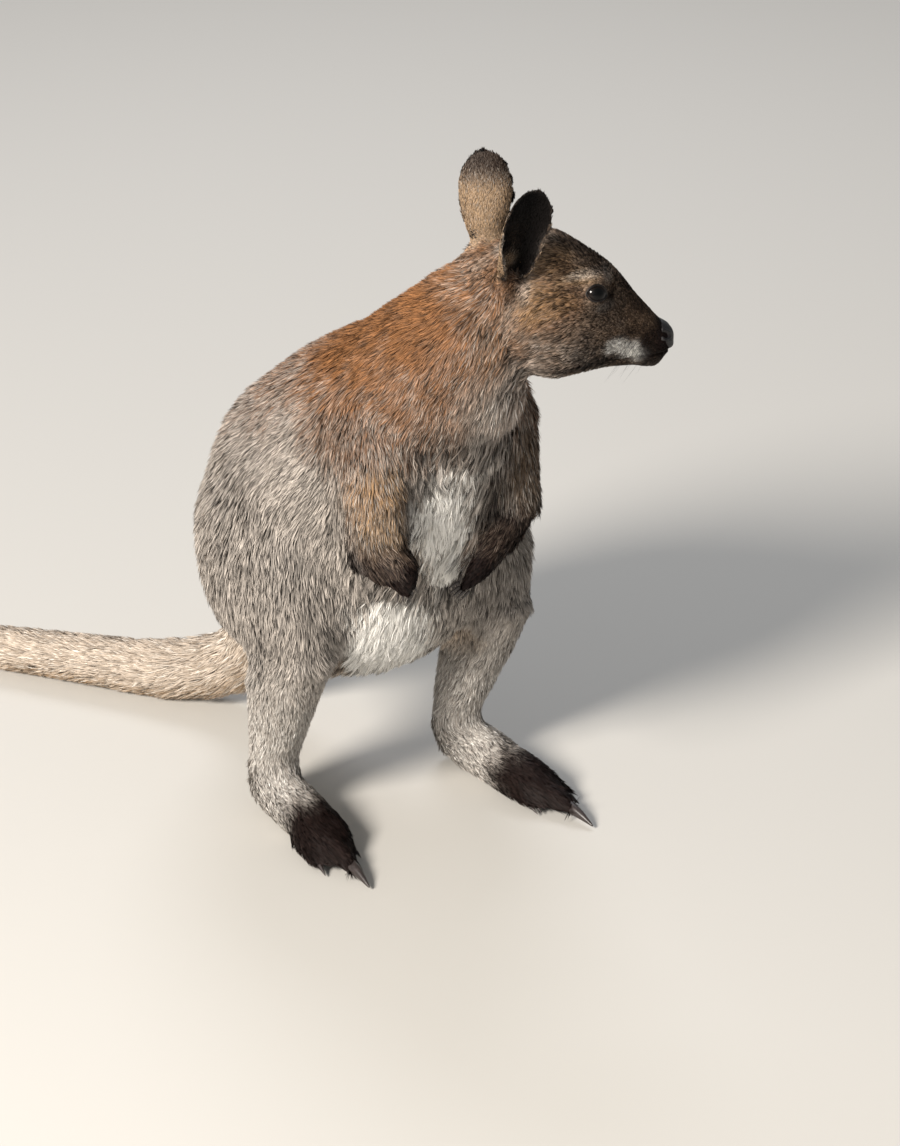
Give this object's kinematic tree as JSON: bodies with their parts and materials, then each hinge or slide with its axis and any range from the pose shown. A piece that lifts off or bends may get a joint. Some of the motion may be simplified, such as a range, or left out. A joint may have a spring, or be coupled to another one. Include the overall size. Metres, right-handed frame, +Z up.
{
  "type": "wallaby figure",
  "caption": "Life-size still figure of a red-necked wallaby that crouches upright on its hind feet and tail, forepaws on the breast, and looks to its left.",
  "frame": {"origin": "on the floor, under the middle of the bounding box", "axes": "+Z up; the breast faces -Y and the tail lies towards +Y and bends to -X; +X is the animal's left, where the nose points"},
  "size_m": [0.5892, 0.8572, 0.6602],
  "materials": {
    "grey_coat": "thick grizzled grey-brown fur",
    "rufous_coat": "thick reddish-brown fur",
    "pale_coat": "short pale grey fur",
    "dark_coat": "short brown-black fur",
    "nose_skin": "bare damp black skin",
    "eye": "wet gloss, dark brown",
    "claw": "worn grey-brown horn"
  },
  "bodies": {
    "root": {"claw_fifth_left": "claw", "claw_fifth_right": "claw", "claw_fourth_left": "claw", "claw_fourth_right": "claw", "claw_groom_inner_left": "claw", "claw_groom_inner_right": "claw", "claw_groom_outer_left": "claw", "claw_groom_outer_right": "claw", "claw_hand_left_1": "claw", "claw_hand_left_2": "claw", "claw_hand_left_3": "claw", "claw_hand_left_4": "claw", "claw_hand_left_5": "claw", "claw_hand_right_1": "claw", "claw_hand_right_2": "claw", "claw_hand_right_3": "claw", "claw_hand_right_4": "claw", "claw_hand_right_5": "claw", "ear_left": "dark_coat", "ear_right": "dark_coat", "eye_left": "eye", "eye_right": "eye", "foot_left": "dark_coat", "foot_right": "dark_coat", "forearm_left": "grey_coat", "forearm_right": "grey_coat", "hand_left": "dark_coat", "hand_right": "dark_coat", "head": "grey_coat", "lower_jaw": "grey_coat", "neck": "rufous_coat", "nose": "nose_skin", "shank_left": "pale_coat", "shank_right": "pale_coat", "tail_middle": "pale_coat", "tail_root": "pale_coat", "tail_tip": "pale_coat", "thigh_left": "grey_coat", "thigh_right": "grey_coat", "trunk": "grey_coat", "upper_arm_left": "rufous_coat", "upper_arm_right": "rufous_coat"}
  },
  "joints": []
}
